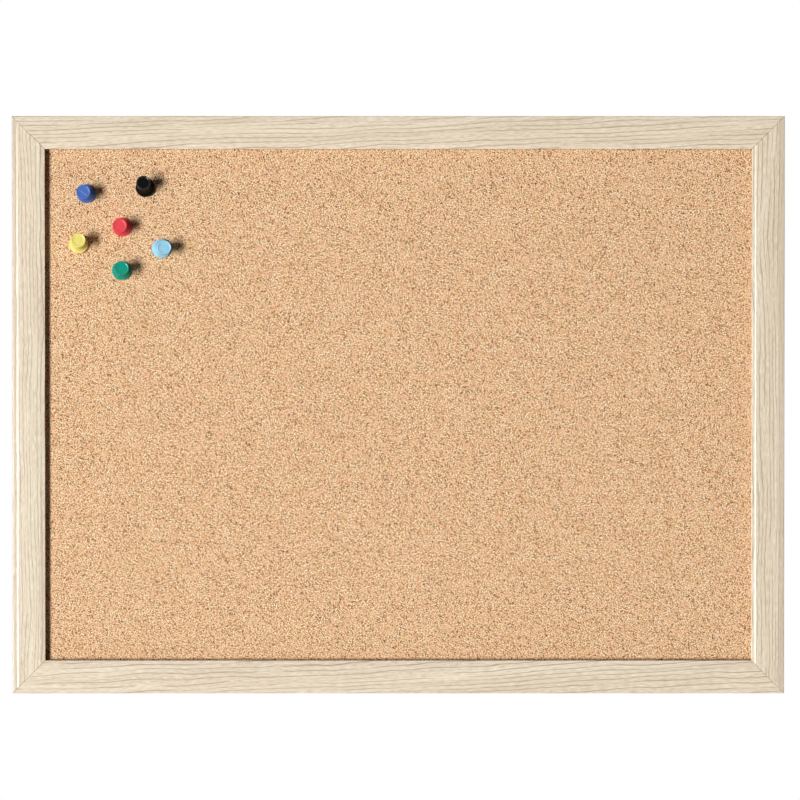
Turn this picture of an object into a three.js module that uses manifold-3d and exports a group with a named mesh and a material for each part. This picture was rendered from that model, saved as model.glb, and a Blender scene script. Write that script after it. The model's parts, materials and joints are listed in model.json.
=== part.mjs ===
// Framed cork notice board with push pins, hung on a wall by two swinging rings.
// Millimetres. X runs to the right, Z up and Y towards the wall, whose face is the plane Y = 0.

import * as THREE from 'three';
import { mergeVertices } from 'three/addons/utils/BufferGeometryUtils.js';
import Module from 'manifold-3d';

const wasm = await Module();
wasm.setup();

// Frame: a moulding with rounded edges and a rebate behind its front lip.
// The face bends back towards both edges, on a radius and as far as an angle for each.
// From there a small round leads to the frame's side, and the lip's edge draws in under the face.
const BOARD_WIDTH = 400;
const BOARD_HEIGHT = 299;
const FRAME_FACE = 17.1;
const OUTER_BEND = 9;
const OUTER_ANGLE = THREE.MathUtils.degToRad(22);
const OUTER_ROUND = 1.2;
const INNER_BEND = 7;
const INNER_ANGLE = THREE.MathUtils.degToRad(32);
const LIP_UNDERCUT = 1.2;
const BACK_CHAMFER = 0.8;
const LIP_THICKNESS = 4.7;
const REBATE_WIDTH = 5.8;
const BACK_RECESS = 2.4;
const MITRE_GAP = 0.3;

// Panel: cork sheet, soft fibreboard core and kraft liner, glued face to face
const CORK_THICKNESS = 3;
const CORE_THICKNESS = 8;
const LINER_THICKNESS = 0.6;
const PANEL_EDGE_GAP = 0.5;

// Clearance around steel pieces driven into the board, and above seated ones
const FIT_GAP = 0.3;

// V-nails across the mitres
const VNAIL_WING = 7;
const VNAIL_THICKNESS = 0.6;
const VNAIL_DEPTH = 8;
const VNAIL_HALF_ANGLE = THREE.MathUtils.degToRad(60);

// Framer's points that hold the panel in the rebate
const POINT_WIDTH = 5;
const POINT_THICKNESS = 0.6;
const POINT_BITE = 3.5;
const POINT_REACH = 8;
const POINT_TAPER = 1.5;
const POINTS_PER_RAIL = 3;
const POINTS_PER_STILE = 2;

// Ring hangers on the backs of the stiles
const HANGER_DROP = 60;
const STRAP_WIDTH = 6;
const STRAP_THICKNESS = 0.8;
const STRAP_TAIL = 4.5;
const CURL_WRAP = THREE.MathUtils.degToRad(240);
const RING_WIRE = 1.6;
const RING_SIDE_GAP = 0.8;
const RING_INNER_HEIGHT = 7;
const SCREW_HEAD_DIAMETER = 5;
const SCREW_HEAD_HEIGHT = 1.6;
const SCREW_SHANK_DIAMETER = 2.4;
const SCREW_LENGTH = 9;
const SCREW_POINT = 2;
const RING_TO_SCREW_GAP = 2;

// Rubber bumpers on the backs of the rails
const BUMPER_DIAMETER = 8.4;
const BUMPER_ROUND = 0.8;
const BUMPER_FROM_CORNER = 28;
const HANGER_WALL_GAP = 0.7;

// Push pins: moulded head on a steel needle. A hollow skirt-shaped slope leads from collar to waist.
const COLLAR_DIAMETER = 9.8;
const COLLAR_RIM = 1.2;
const SKIRT_HEIGHT = 5;
const SKIRT_BEND = 1.8;
const WAIST_DIAMETER = 6.2;
const TOP_DIAMETER = 7.4;
const TOP_RIM = 1.5;
const TOP_FLARE = 1.8;
const RIM_BEVEL = 0.4;
const HEAD_HEIGHT = 11.5;
const NEEDLE_DIAMETER = 1.1;
const NEEDLE_LENGTH = 10;
const NEEDLE_POINT = 2.5;
const NEEDLE_SOCKET = 6;

// Each pin's needle enters the cork this far from the frame's left and top sight edges.
// Its head leans to the right and up by the two angles, in degrees.
const PINS = [
  { name: 'blue', colour: 0x3f66b0, fromLeft: 20.95, fromTop: 22.75, leanRight: 0, leanUp: 0 },
  { name: 'black', colour: 0x18181a, fromLeft: 51.5, fromTop: 20, leanRight: 2, leanUp: 9 },
  { name: 'red', colour: 0xd8424a, fromLeft: 39.6, fromTop: 40.05, leanRight: 0, leanUp: 0 },
  { name: 'yellow', colour: 0xecd86a, fromLeft: 16.95, fromTop: 49.2, leanRight: 7, leanUp: 7.5 },
  { name: 'light_blue', colour: 0x8fc8e8, fromLeft: 59.45, fromTop: 51.3, leanRight: 14, leanUp: 0 },
  { name: 'green', colour: 0x149a7c, fromLeft: 39.05, fromTop: 62.85, leanRight: 7.5, leanUp: 4.5 },
];

// Fineness of round shapes
const ARC_STEPS = 4;
const SMALL_SIDES = 12;
const PIN_SIDES = 20;

// Sizes that follow from the ones above
const panelThickness = CORK_THICKNESS + CORE_THICKNESS + LINER_THICKNESS;
const frameDepth = LIP_THICKNESS + panelThickness + BACK_RECESS;
const backLand = FRAME_FACE - REBATE_WIDTH;
const curlInner = RING_WIRE / 2 + FIT_GAP;
const curlOuter = curlInner + STRAP_THICKNESS;
const bumperHeight = 2 * curlOuter + HANGER_WALL_GAP;

// Planes across the board, from the wall forwards
const frameBackY = -bumperHeight;
const frameFrontY = frameBackY - frameDepth;
const corkFrontY = frameFrontY + LIP_THICKNESS;
const coreFrontY = corkFrontY + CORK_THICKNESS;
const linerFrontY = coreFrontY + CORE_THICKNESS;
const linerBackY = linerFrontY + LINER_THICKNESS;

const board = new THREE.Group();

const finishes = {
  foil: { color: 0xe4d3ba, roughness: 0.45, metalness: 0 },
  cork: { color: 0xdcb58d, roughness: 0.9, metalness: 0 },
  fibre: { color: 0xa98a66, roughness: 0.95, metalness: 0 },
  kraft: { color: 0xb08a5e, roughness: 0.85, metalness: 0 },
  zinc: { color: 0xc4c6c8, roughness: 0.35, metalness: 1 },
  steel: { color: 0xb4b6b9, roughness: 0.3, metalness: 1 },
  rubber: { color: 0x2a2a2b, roughness: 0.8, metalness: 0 },
};

function addMesh(parent, name, geometry, finish) {
  const mesh = new THREE.Mesh(geometry, new THREE.MeshStandardMaterial(finish));
  mesh.name = name;
  parent.add(mesh);
  return mesh;
}

// Joining and cutting closed shapes

function solidOf(geometry) {
  const bare = geometry.clone();
  bare.deleteAttribute('normal');
  bare.deleteAttribute('uv');
  const merged = mergeVertices(bare);
  return new wasm.Manifold(new wasm.Mesh({
    numProp: 3,
    vertProperties: merged.attributes.position.array,
    triVerts: Uint32Array.from(merged.index.array),
  }));
}

function geometryOf(solid) {
  const { vertProperties, triVerts } = solid.getMesh();
  const geometry = new THREE.BufferGeometry();
  geometry.setAttribute('position', new THREE.BufferAttribute(vertProperties, 3));
  geometry.setIndex(new THREE.BufferAttribute(triVerts, 1));
  return geometry;
}

function cut(geometry, cutters) {
  let solid = solidOf(geometry);
  for (const cutter of cutters) {
    solid = solid.subtract(solidOf(cutter));
  }
  return geometryOf(solid);
}

function join(first, second) {
  return geometryOf(solidOf(first).add(solidOf(second)));
}

// A box given by its lowest and highest corners
function boxBetween(low, high) {
  const size = high.map((value, i) => value - low[i]);
  const geometry = new THREE.BoxGeometry(...size);
  return geometry.translate(...low.map((value, i) => value + size[i] / 2));
}

// A round hole along Y, from the frame's back forwards
function backHole(x, z, diameter, depth) {
  const hole = new THREE.CylinderGeometry(diameter / 2, diameter / 2, 2 * depth, SMALL_SIDES);
  return hole.translate(x, frameBackY, z);
}

// V-nails

// A chevron in the XZ plane whose point is at the origin and whose wings open along +X,
// running forwards from the plane Y = 0
function chevron(wing, thickness, depth) {
  const along = new THREE.Vector2(Math.cos(VNAIL_HALF_ANGLE), Math.sin(VNAIL_HALF_ANGLE));
  const inward = new THREE.Vector2(along.y, -along.x);
  const tip = along.clone().multiplyScalar(wing);
  const innerTip = tip.clone().addScaledVector(inward, thickness);
  const shape = new THREE.Shape([
    new THREE.Vector2(0, 0),
    new THREE.Vector2(tip.x, -tip.y),
    new THREE.Vector2(innerTip.x, -innerTip.y),
    new THREE.Vector2(thickness / along.y, 0),
    innerTip,
    tip,
  ]);
  return new THREE.ExtrudeGeometry(shape, { depth, bevelEnabled: false }).rotateX(Math.PI / 2);
}

const corners = [];
for (const [rise, up] of [['top', 1], ['bottom', -1]]) {
  for (const [side, right] of [['left', -1], ['right', 1]]) {
    corners.push({ name: `${rise}_${side}`, right, up });
  }
}

const vnailX = BOARD_WIDTH / 2 - backLand / 2;
const vnailZ = BOARD_HEIGHT / 2 - backLand / 2;

// Turns a chevron to open towards the middle of the board, and sets it at its corner
function cornerPlace(corner) {
  const turn = Math.atan2(corner.up, -corner.right);
  return new THREE.Matrix4()
    .makeTranslation(corner.right * vnailX, frameBackY, corner.up * vnailZ)
    .multiply(new THREE.Matrix4().makeRotationY(turn));
}

function vnailSlot(corner) {
  const slot = chevron(VNAIL_WING + FIT_GAP, VNAIL_THICKNESS + 2 * FIT_GAP, VNAIL_DEPTH + 3 * FIT_GAP);
  slot.translate(-FIT_GAP / Math.sin(VNAIL_HALF_ANGLE), FIT_GAP, 0);
  return slot.applyMatrix4(cornerPlace(corner));
}

for (const corner of corners) {
  const nail = chevron(VNAIL_WING, VNAIL_THICKNESS, VNAIL_DEPTH).translate(0, -FIT_GAP, 0);
  const mesh = addMesh(board, `v_nail_${corner.name}`, nail, finishes.steel);
  mesh.applyMatrix4(cornerPlace(corner));
}

// Framer's points

const openingWidth = BOARD_WIDTH - 2 * backLand;
const openingHeight = BOARD_HEIGHT - 2 * backLand;

const sides = [
  { name: 'top', turn: 0, length: BOARD_WIDTH, across: BOARD_HEIGHT },
  { name: 'right', turn: Math.PI / 2, length: BOARD_HEIGHT, across: BOARD_WIDTH },
  { name: 'bottom', turn: Math.PI, length: BOARD_WIDTH, across: BOARD_HEIGHT },
  { name: 'left', turn: -Math.PI / 2, length: BOARD_HEIGHT, across: BOARD_WIDTH },
];

// Where the points stand along a side
function pointPlaces(side) {
  const isRail = side.length === BOARD_WIDTH;
  const count = isRail ? POINTS_PER_RAIL : POINTS_PER_STILE;
  const spacing = (isRail ? openingWidth : openingHeight) / count;
  return Array.from({ length: count }, (_, i) => (i - (count - 1) / 2) * spacing);
}

// A point reaches from the rebate's wall, on the side's own +Z, towards the board's middle
function pointTab() {
  const half = POINT_WIDTH / 2;
  const shape = new THREE.Shape();
  shape.moveTo(-half, -POINT_REACH);
  shape.lineTo(half, -POINT_REACH);
  shape.lineTo(half, POINT_BITE - POINT_TAPER);
  shape.lineTo(0, POINT_BITE);
  shape.lineTo(-half, POINT_BITE - POINT_TAPER);
  return new THREE.ExtrudeGeometry(shape, { depth: POINT_THICKNESS, bevelEnabled: false })
    .rotateX(Math.PI / 2)
    .translate(0, linerBackY + POINT_THICKNESS, 0);
}

function pointSlot(place, wall) {
  const half = POINT_WIDTH / 2 + FIT_GAP;
  return boxBetween(
    [place - half, linerBackY - FIT_GAP, wall - FIT_GAP],
    [place + half, linerBackY + POINT_THICKNESS + FIT_GAP, wall + POINT_BITE + FIT_GAP],
  );
}

for (const side of sides) {
  const turned = new THREE.Group();
  turned.rotation.y = side.turn;
  board.add(turned);
  const wall = side.across / 2 - backLand;
  pointPlaces(side).forEach((place, i) => {
    const tab = addMesh(turned, `framers_point_${side.name}_${i + 1}`, pointTab(), finishes.zinc);
    tab.position.set(place, 0, wall);
  });
}

// Ring hangers

const ringInnerWidth = STRAP_WIDTH + 2 * RING_SIDE_GAP;
const ringReach = RING_INNER_HEIGHT + 1.5 * RING_WIRE;
const screwDrop = ringReach + RING_TO_SCREW_GAP + SCREW_HEAD_DIAMETER / 2;
const hangerX = BOARD_WIDTH / 2 - backLand / 2;
const hangerZ = BOARD_HEIGHT / 2 - HANGER_DROP;
const screwHole = SCREW_SHANK_DIAMETER + 2 * FIT_GAP;

// The strap's flat plate, with a round tail and a screw hole, hanging from the ring's axis
function strapPlate() {
  const half = STRAP_WIDTH / 2;
  const tailCentre = -screwDrop - STRAP_TAIL + half;
  const shape = new THREE.Shape();
  shape.moveTo(half, 0);
  shape.lineTo(-half, 0);
  shape.lineTo(-half, tailCentre);
  shape.absarc(0, tailCentre, half, Math.PI, 2 * Math.PI, false);
  const hole = new THREE.Path();
  hole.absarc(0, -screwDrop, screwHole / 2, 0, 2 * Math.PI, true);
  shape.holes.push(hole);
  const extrude = { depth: STRAP_THICKNESS, bevelEnabled: false, curveSegments: SMALL_SIDES };
  return new THREE.ExtrudeGeometry(shape, extrude).rotateX(Math.PI / 2).translate(0, STRAP_THICKNESS, 0);
}

// The strap's upper end, curled round the ring's bar and drawn in the plane across it
function strapCurl() {
  const centre = curlOuter;
  const start = Math.PI;
  const end = start - CURL_WRAP;
  const shape = new THREE.Shape();
  shape.moveTo(0, -STRAP_THICKNESS);
  shape.lineTo(0, 0);
  shape.absarc(centre, 0, curlOuter, start, end, true);
  shape.lineTo(centre + curlInner * Math.cos(end), curlInner * Math.sin(end));
  shape.absarc(centre, 0, curlInner, end, start, false);
  shape.lineTo(STRAP_THICKNESS, -STRAP_THICKNESS);
  const extrude = { depth: STRAP_WIDTH, bevelEnabled: false, curveSegments: 2 * SMALL_SIDES };
  const curl = new THREE.ExtrudeGeometry(shape, extrude).translate(0, 0, -STRAP_WIDTH / 2);
  return curl.rotateZ(Math.PI / 2).rotateY(Math.PI / 2);
}

// A ring shaped like a D, with its straight bar on the X axis and its bow below
function ringOutline(halfWidth, top, springing) {
  const outline = new THREE.Path();
  outline.moveTo(halfWidth, top);
  outline.lineTo(-halfWidth, top);
  outline.lineTo(-halfWidth, springing);
  outline.absarc(0, springing, halfWidth, Math.PI, 2 * Math.PI, false);
  return outline;
}

function ringGeometry() {
  const innerHalf = ringInnerWidth / 2;
  const wireHalf = RING_WIRE / 2;
  const springing = -wireHalf - RING_INNER_HEIGHT + innerHalf;
  const outer = ringOutline(innerHalf + RING_WIRE, wireHalf, springing);
  const inner = ringOutline(innerHalf, -wireHalf, springing);
  const shape = new THREE.Shape(outer.getPoints(SMALL_SIDES));
  shape.holes.push(new THREE.Path(inner.getPoints(SMALL_SIDES)));
  const edge = RING_WIRE * (1 - Math.SQRT1_2);
  const flat = RING_WIRE - 2 * edge;
  const extrude = {
    depth: flat, bevelThickness: edge, bevelSize: edge, bevelOffset: -edge, bevelSegments: 1,
  };
  return new THREE.ExtrudeGeometry(shape, extrude).translate(0, 0, -flat / 2).rotateX(Math.PI / 2);
}

// A pan-head screw along Y, seated on the plane Y = 0 with its head towards the wall
function screwGeometry() {
  const head = SCREW_HEAD_DIAMETER / 2;
  const shank = SCREW_SHANK_DIAMETER / 2;
  const profile = new THREE.Path();
  profile.moveTo(0, -SCREW_LENGTH);
  profile.lineTo(shank, SCREW_POINT - SCREW_LENGTH);
  profile.lineTo(shank, 0);
  profile.lineTo(head, 0);
  profile.lineTo(head, SCREW_HEAD_HEIGHT / 2);
  profile.quadraticCurveTo(head, SCREW_HEAD_HEIGHT, head / 2, SCREW_HEAD_HEIGHT);
  profile.lineTo(0, SCREW_HEAD_HEIGHT);
  return new THREE.LatheGeometry(profile.getPoints(ARC_STEPS), SMALL_SIDES);
}

for (const [side, right] of [['left', -1], ['right', 1]]) {
  const hanger = new THREE.Group();
  hanger.position.set(right * hangerX, frameBackY, hangerZ);
  board.add(hanger);
  addMesh(hanger, `hanger_strap_${side}`, join(strapPlate(), strapCurl()), finishes.zinc);
  const ring = addMesh(hanger, `hanger_ring_${side}`, ringGeometry(), finishes.zinc);
  ring.position.y = curlOuter;
  const screw = addMesh(hanger, `hanger_screw_${side}`, screwGeometry(), finishes.steel);
  screw.position.set(0, STRAP_THICKNESS, -screwDrop);
}

// Frame members

function arcPoints(x, y, radius, start, end) {
  return new THREE.EllipseCurve(x, y, radius, radius, start, end).getPoints(ARC_STEPS);
}

// The moulding's section: across the face from the outer edge, and forwards from the back
function mouldingShape() {
  const lipBack = frameDepth - LIP_THICKNESS;
  const front = Math.PI / 2;
  const innerX = FRAME_FACE - INNER_BEND * Math.sin(INNER_ANGLE);
  const innerY = frameDepth - INNER_BEND;
  const outerX = OUTER_ROUND + (OUTER_BEND - OUTER_ROUND) * Math.sin(OUTER_ANGLE);
  const outerY = frameDepth - OUTER_BEND;
  const roundY = outerY + (OUTER_BEND - OUTER_ROUND) * Math.cos(OUTER_ANGLE);
  const innerBend = arcPoints(innerX, innerY, INNER_BEND, front - INNER_ANGLE, front);
  const outerBend = arcPoints(outerX, outerY, OUTER_BEND, front, front + OUTER_ANGLE);
  const outerRound = arcPoints(OUTER_ROUND, roundY, OUTER_ROUND, front + OUTER_ANGLE, Math.PI);
  return new THREE.Shape([
    new THREE.Vector2(BACK_CHAMFER, 0),
    new THREE.Vector2(backLand, 0),
    new THREE.Vector2(backLand, lipBack),
    new THREE.Vector2(FRAME_FACE - LIP_UNDERCUT, lipBack),
    ...innerBend,
    ...outerBend,
    ...outerRound.slice(1),
    new THREE.Vector2(0, BACK_CHAMFER),
  ]);
}

// A length of moulding mitred at both ends, with its outer edge on the side's own +Z
function mitredMoulding(side) {
  const geometry = new THREE.ExtrudeGeometry(mouldingShape(), { depth: 1, bevelEnabled: false });
  const points = geometry.attributes.position;
  for (let i = 0; i < points.count; i += 1) {
    const inset = points.getX(i);
    const reach = side.length / 2 - inset - MITRE_GAP / 2;
    const end = 1 - 2 * points.getZ(i);
    points.setXYZ(i, end * reach, frameBackY - points.getY(i), side.across / 2 - inset);
  }
  return geometry;
}

const vnailSlots = corners.map(vnailSlot);
const hangerHoles = [-1, 1].map((right) => {
  const depth = SCREW_LENGTH - STRAP_THICKNESS + FIT_GAP;
  return backHole(right * hangerX, hangerZ - screwDrop, screwHole, depth);
});

for (const side of sides) {
  const wall = side.across / 2 - backLand;
  const pointSlots = pointPlaces(side).map((place) => pointSlot(place, wall));
  const moulding = cut(mitredMoulding(side), pointSlots).rotateY(side.turn);
  const kind = side.length === BOARD_WIDTH ? 'rail' : 'stile';
  const geometry = cut(moulding, [...vnailSlots, ...hangerHoles]);
  addMesh(board, `frame_${kind}_${side.name}`, geometry, finishes.foil);
}

// Bumpers

function bumperGeometry() {
  const radius = BUMPER_DIAMETER / 2;
  const profile = new THREE.Path();
  profile.moveTo(0, -bumperHeight);
  profile.lineTo(radius, -bumperHeight);
  profile.lineTo(radius, -BUMPER_ROUND);
  profile.absarc(radius - BUMPER_ROUND, -BUMPER_ROUND, BUMPER_ROUND, 0, Math.PI / 2, false);
  profile.lineTo(0, 0);
  return new THREE.LatheGeometry(profile.getPoints(ARC_STEPS), SMALL_SIDES);
}

for (const corner of corners) {
  const bumper = addMesh(board, `bumper_${corner.name}`, bumperGeometry(), finishes.rubber);
  bumper.position.set(corner.right * (BOARD_WIDTH / 2 - BUMPER_FROM_CORNER), 0, corner.up * vnailZ);
}

// Push pins

const collarRadius = COLLAR_DIAMETER / 2;
const waistRadius = WAIST_DIAMETER / 2;
const topRadius = TOP_DIAMETER / 2;
const needleRadius = NEEDLE_DIAMETER / 2;
const boreRadius = needleRadius + FIT_GAP;

// The head stands on the plane Y = 0, with its needle's socket open below
function pinHead() {
  const neckTop = HEAD_HEIGHT - TOP_RIM;
  const profile = new THREE.Path();
  profile.moveTo(0, NEEDLE_SOCKET);
  profile.lineTo(boreRadius, NEEDLE_SOCKET);
  profile.lineTo(boreRadius, 0);
  profile.lineTo(collarRadius - RIM_BEVEL, 0);
  profile.lineTo(collarRadius, RIM_BEVEL);
  profile.lineTo(collarRadius, COLLAR_RIM - RIM_BEVEL);
  profile.lineTo(collarRadius - RIM_BEVEL, COLLAR_RIM);
  profile.quadraticCurveTo(waistRadius, COLLAR_RIM + SKIRT_BEND, waistRadius, COLLAR_RIM + SKIRT_HEIGHT);
  profile.lineTo(waistRadius, neckTop - TOP_FLARE);
  profile.quadraticCurveTo(waistRadius, neckTop, topRadius, neckTop);
  profile.lineTo(topRadius, HEAD_HEIGHT - RIM_BEVEL);
  profile.lineTo(topRadius - RIM_BEVEL, HEAD_HEIGHT);
  profile.lineTo(0, HEAD_HEIGHT);
  return new THREE.LatheGeometry(profile.getPoints(ARC_STEPS), PIN_SIDES);
}

// The needle points down from the head's underside and ends in its socket
function pinNeedle() {
  const profile = [
    new THREE.Vector2(0, -NEEDLE_LENGTH),
    new THREE.Vector2(needleRadius, NEEDLE_POINT - NEEDLE_LENGTH),
    new THREE.Vector2(needleRadius, NEEDLE_SOCKET - FIT_GAP),
    new THREE.Vector2(0, NEEDLE_SOCKET - FIT_GAP),
  ];
  return new THREE.LatheGeometry(profile, SMALL_SIDES);
}

// Turns the pin's own Y axis to its leaning axis, out of the cork, with its collar just off the cork
function pinPlace(pin) {
  const leanRight = Math.tan(THREE.MathUtils.degToRad(pin.leanRight));
  const leanUp = Math.tan(THREE.MathUtils.degToRad(pin.leanUp));
  const axis = new THREE.Vector3(leanRight, -1, leanUp).normalize();
  const entry = new THREE.Vector3(
    pin.fromLeft + FRAME_FACE - BOARD_WIDTH / 2,
    corkFrontY,
    BOARD_HEIGHT / 2 - FRAME_FACE - pin.fromTop,
  );
  const standoff = collarRadius * Math.hypot(axis.x, axis.z) + FIT_GAP;
  const turn = new THREE.Quaternion().setFromUnitVectors(new THREE.Vector3(0, 1, 0), axis);
  return { seat: entry.addScaledVector(axis, standoff), turn };
}

// The hole that a needle makes in the panel
function pinBore({ seat, turn }) {
  const length = NEEDLE_LENGTH + FIT_GAP;
  const bore = new THREE.CylinderGeometry(boreRadius, boreRadius, length, SMALL_SIDES);
  bore.translate(0, -length / 2, 0);
  return bore.applyQuaternion(turn).translate(seat.x, seat.y, seat.z);
}

const pinPlaces = PINS.map(pinPlace);

PINS.forEach((pin, i) => {
  const group = new THREE.Group();
  group.position.copy(pinPlaces[i].seat);
  group.quaternion.copy(pinPlaces[i].turn);
  board.add(group);
  addMesh(group, `pin_${pin.name}_head`, pinHead(), { color: pin.colour, roughness: 0.3, metalness: 0 });
  addMesh(group, `pin_${pin.name}_needle`, pinNeedle(), finishes.steel);
});

// Panel

const panelHalfWidth = openingWidth / 2 - PANEL_EDGE_GAP;
const panelHalfHeight = openingHeight / 2 - PANEL_EDGE_GAP;
const pinBores = pinPlaces.map(pinBore);

const sheets = [
  { name: 'cork_sheet', front: corkFrontY, back: coreFrontY, finish: finishes.cork },
  { name: 'fibreboard_core', front: coreFrontY, back: linerFrontY, finish: finishes.fibre },
  { name: 'backing_liner', front: linerFrontY, back: linerBackY, finish: finishes.kraft },
];

for (const sheet of sheets) {
  const blank = boxBetween(
    [-panelHalfWidth, sheet.front, -panelHalfHeight],
    [panelHalfWidth, sheet.back, panelHalfHeight],
  );
  addMesh(board, sheet.name, cut(blank, pinBores), sheet.finish);
}

export default board;
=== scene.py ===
import json
import math
import random

import bmesh
import bpy
from mathutils import Matrix, Vector, noise


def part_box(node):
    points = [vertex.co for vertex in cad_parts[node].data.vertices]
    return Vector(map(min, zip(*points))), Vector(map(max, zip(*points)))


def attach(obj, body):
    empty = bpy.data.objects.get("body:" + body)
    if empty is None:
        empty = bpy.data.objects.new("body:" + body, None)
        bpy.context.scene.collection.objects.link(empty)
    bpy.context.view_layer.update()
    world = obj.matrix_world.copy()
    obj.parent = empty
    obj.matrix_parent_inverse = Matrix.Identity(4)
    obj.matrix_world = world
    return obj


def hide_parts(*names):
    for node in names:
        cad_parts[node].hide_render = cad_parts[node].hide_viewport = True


# Framed cork notice board with push pins: fine shapes, finishes, light and camera, in metres

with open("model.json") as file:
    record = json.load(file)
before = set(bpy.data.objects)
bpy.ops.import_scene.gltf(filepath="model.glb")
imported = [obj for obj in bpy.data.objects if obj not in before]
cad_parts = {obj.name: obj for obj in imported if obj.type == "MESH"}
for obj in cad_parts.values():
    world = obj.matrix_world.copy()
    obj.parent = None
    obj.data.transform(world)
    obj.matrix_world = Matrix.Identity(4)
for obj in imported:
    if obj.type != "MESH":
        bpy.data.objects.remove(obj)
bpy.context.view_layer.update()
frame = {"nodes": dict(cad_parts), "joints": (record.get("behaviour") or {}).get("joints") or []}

MM = 0.001

# Points closer than this count as one, and points this close in height as level
SAME_POINT = 0.001 * MM
LEVEL = 0.01 * MM

# Moulding: sizes across its section, with the tilts of its inner step and band in degrees
FRAME_FACE = 17.1 * MM
OUTER_BAND = 2.3 * MM
OUTER_DROP = 0.2 * MM
OUTER_ROUND = 0.4 * MM
INNER_BAND = 1.9 * MM
INNER_DROP = 0.2 * MM
INNER_TILT = 22
BAND_TILT = 10
STEP_WIDTH = 1 * MM
LIP_UNDERCUT = 1.2 * MM
ARRIS_ROUND = 0.3 * MM
BACK_ROUND = 0.8 * MM
LIP_THICKNESS = 4.7 * MM
REBATE_WIDTH = 5.8 * MM
FOIL_WRAP = 5 * MM
MITRE_GAP = 0.1 * MM
MITRE_EASE = 0.11 * MM
NAIL_SLOT_GAP = 0.08 * MM
NAIL_SLOT_EXIT = 1 * MM

# Oak print on the foil: millimetres between its growth lines, how far they rise along a member and how
# strong they are; and how strong the painted shade on the outer band is, stronger on the stiles
LINE_GAP = {"rail": 2.4, "stile": 1.9}
LINE_RISE = {"rail": 0.05, "stile": 0.0}
LINE_STRENGTH = 0.85
BAND_PAINTED_SHADE = {"rail": 0.08, "stile": 0.4}

# Cork face: pitch of its mesh and jitter as a share of it, height and widths of its relief, needle holes
CORK_PITCH = 1.06 * MM
CORK_JITTER = 0.28
CORK_RELIEF = 0.02 * MM
CRUMB_WIDTH = 0.9 * MM
SWELL_WIDTH = 2.6 * MM
NEEDLE_HOLE = 1.2 * MM

# Cork colours: pitch in millimetres and turn in degrees of the grids that scatter crumbs, specks and bark,
# how far a crumb's tone strays, and the share of the bark's cells that stay empty
CRUMB_GRID = (0.56, 31)
SPECK_GRID = (0.88, 67)
BARK_GRID = (1.7, 12)
CRUMB_STRAY = 0.09
BARK_EMPTY = 0.94

# Push pins: their sizes, and the gloss of the plastic
COLLAR_DIAMETER = 9.8 * MM
COLLAR_RIM = 1.2 * MM
SKIRT_HEIGHT = 5 * MM
SKIRT_BEND = 1 * MM
WAIST_DIAMETER = 6.2 * MM
TOP_DIAMETER = 7.4 * MM
TOP_RIM = 1.5 * MM
TOP_FLARE = 1.8 * MM
HEAD_HEIGHT = 11.5 * MM
HEAD_FILLET = 0.4 * MM
TOP_EDGE = 0.3 * MM
TOP_DISH = 0.22 * MM
DISH_SLOPE = 0.4 * MM
BRIM_DEPTH = 0.8 * TOP_DISH
PIN_GLOSS = 0.12
BLACK_GLOSS = 0.03
BRIM_GLOSS = 0.22
NEEDLE_DIAMETER = 1.1 * MM
NEEDLE_LENGTH = 10 * MM
NEEDLE_POINT = 2.5 * MM
NEEDLE_SOCKET = 5.7 * MM

# Hangers and bumpers on the back, and the turn that points their axes at the wall
RING_WIRE = 1.6 * MM
RING_CORNER = 1.3 * MM
SCREW_HEAD_DIAMETER = 5 * MM
SCREW_HEAD_HEIGHT = 1.6 * MM
SCREW_SHANK_DIAMETER = 2.4 * MM
SCREW_LENGTH = 9 * MM
SCREW_POINT = 2 * MM
RECESS_WIDTH = 0.7 * MM
RECESS_LENGTH = 2.7 * MM
RECESS_DEPTH = 1 * MM
RECESS_TAPER = 0.45
RECESS_TURNS = (25, 115)
RECESS_EXIT = 0.2 * MM
STRAP_EDGE = 0.15 * MM
POINT_EDGE = 0.1 * MM
BUMPER_ROUND = 0.9 * MM
BUMPER_DISH = 0.25 * MM
TOWARDS_WALL = Matrix.Rotation(math.radians(-90), 4, "X")

# Facets round each turned shape
HEAD_SEGMENTS = 72
NEEDLE_SEGMENTS = 24
HOLE_SEGMENTS = 20
WIRE_SEGMENTS = 16
SCREW_SEGMENTS = 40
BUMPER_SEGMENTS = 48
FLOOR_SEGMENTS = 96

# Camera, from the photograph's framing: distance in metres, elevation in degrees, sensor in millimetres
PHOTO_SIDE_PX = 800
MM_PER_PX = 0.5177
BOARD_CENTRE_PX = (398.3, 405.0)
CAMERA_DISTANCE = 1.15
CAMERA_ELEVATION = 0.5
SENSOR_WIDTH = 36.0

# Lamps: where each stands, its width and height, and its share of the light that shows a colour as written
KEY_PLACE = (-2.95, -5.2, -0.6)
KEY_SIZE = (1.5, 2.4)
KEY_SHARE = 0.92
BACK_PLACE = (1.7, 2.8, 1.5)
BACK_SIZE = (1.6, 1.6)
BACK_SHARE = 0.7
FILL_SHARE = 0.025

# Floor: metres below the board, its radius, and the shares of it where its fade to white starts and ends
FLOOR_DROP = 1.6
FLOOR_RADIUS = 1.6
FLOOR_FADE = (0.35, 0.95)

# Each pin's plastic as it is seen, in 0 to 255
PINS = {
    "blue": (76, 112, 188),
    "black": (16, 16, 15),
    "red": (236, 74, 84),
    "yellow": (255, 237, 131),
    "light_blue": (164, 224, 255),
    "green": (18, 158, 133),
}

rail_low, rail_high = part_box("frame_rail_top")
cork_low, cork_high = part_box("cork_sheet")
FRAME_BACK = rail_high.y
FRAME_DEPTH = rail_high.y - rail_low.y
HALF_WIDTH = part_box("frame_stile_right")[1].x
HALF_HEIGHT = rail_high.z


# Materials

def srgb(red, green, blue):
    """A colour given as it is seen, in 0 to 255, as the linear colour that shaders take."""
    shares = [value / 255 for value in (red, green, blue)]
    linear = [s / 12.92 if s <= 0.04045 else ((s + 0.055) / 1.055) ** 2.4 for s in shares]
    return (*linear, 1.0)


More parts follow.
